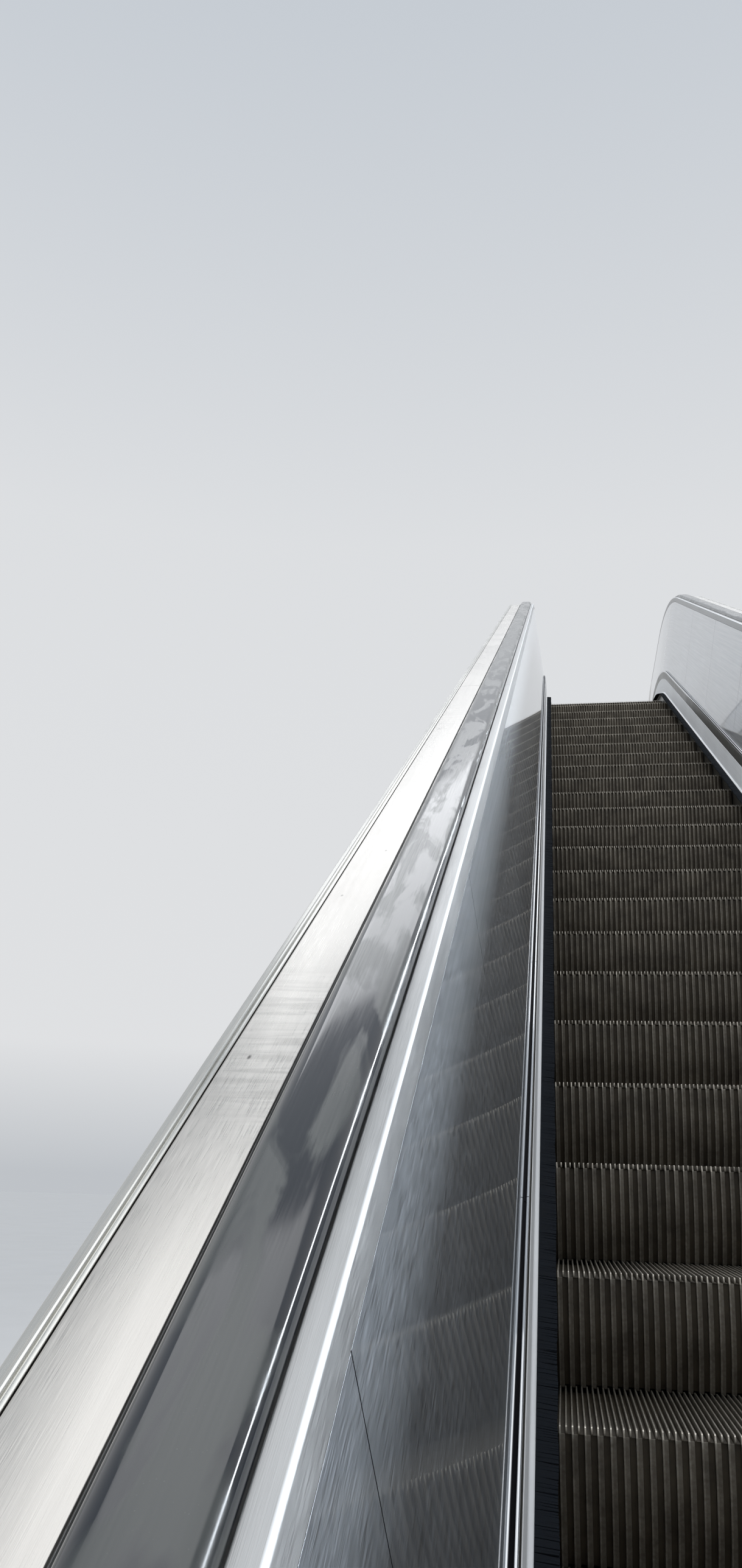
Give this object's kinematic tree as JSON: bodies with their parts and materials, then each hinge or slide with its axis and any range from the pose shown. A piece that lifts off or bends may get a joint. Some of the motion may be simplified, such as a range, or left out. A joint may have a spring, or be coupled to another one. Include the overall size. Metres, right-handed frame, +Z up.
{
  "type": "escalator",
  "caption": "Escalator with full-height brushed steel balustrades, black handrails, skirt brushes and cleated steps, from lower to upper bearing angle.",
  "frame": {"origin": "middle of the underside of the lower bearing angle, where it rests on the building", "axes": "+Z up, +Y forward in plan from the lower to the upper landing, +X to the right of someone riding up; mirror symmetric about X = 0"},
  "size_m": [1.586, 17.8393, 8.463],
  "materials": {
    "step_cleats": "worn die-cast cleats, dark with silvery tips",
    "comb_aluminium": "worn satin",
    "floor_steel": "etched, trodden",
    "brush_bristle": "dense nylon bristles",
    "skirt_steel": "coated, dull",
    "holder_aluminium": "satin extrusion",
    "panel_steel": "brushed, lightly scratched",
    "deck_steel": "brushed, lightly scratched",
    "edge_steel": "bright folded edge",
    "guide_steel": "dull",
    "inlet_rubber": "matt",
    "handrail_rubber": "glossy, worn smooth",
    "casing_steel": "plain satin sheet",
    "truss_paint": "primer"
  },
  "bodies": {
    "root": {"steps_lower_landing": "step_cleats", "steps_incline": "step_cleats", "steps_upper_landing": "step_cleats", "comb_lower": "comb_aluminium", "comb_upper": "comb_aluminium", "comb_plate_lower": "floor_steel", "comb_plate_upper": "floor_steel", "floor_plate_lower": "floor_steel", "floor_plate_upper": "floor_steel", "skirt_left": "skirt_steel", "skirt_right": "skirt_steel", "brush_holder_left": "holder_aluminium", "brush_holder_right": "holder_aluminium", "skirt_brush_left": "brush_bristle", "skirt_brush_right": "brush_bristle", "interior_panels_left": "panel_steel", "interior_panels_right": "panel_steel", "inner_deck_left": "deck_steel", "inner_deck_right": "deck_steel", "outer_deck_left": "deck_steel", "outer_deck_right": "deck_steel", "edge_strip_left": "edge_steel", "edge_strip_right": "edge_steel", "handrail_guide_left": "guide_steel", "handrail_guide_right": "guide_steel", "handrail_left": "handrail_rubber", "handrail_right": "handrail_rubber", "newel_lower_left": "deck_steel", "newel_lower_right": "deck_steel", "newel_upper_left": "deck_steel", "newel_upper_right": "deck_steel", "handrail_inlets_left": "inlet_rubber", "handrail_inlets_right": "inlet_rubber", "side_casing_left": "casing_steel", "side_casing_right": "casing_steel", "soffit": "casing_steel", "truss": "truss_paint", "cross_frames": "truss_paint", "tracks_left": "truss_paint", "tracks_right": "truss_paint", "end_plate_lower": "truss_paint", "end_plate_upper": "truss_paint", "bearing_angle_lower": "truss_paint", "bearing_angle_upper": "truss_paint"}
  },
  "joints": []
}
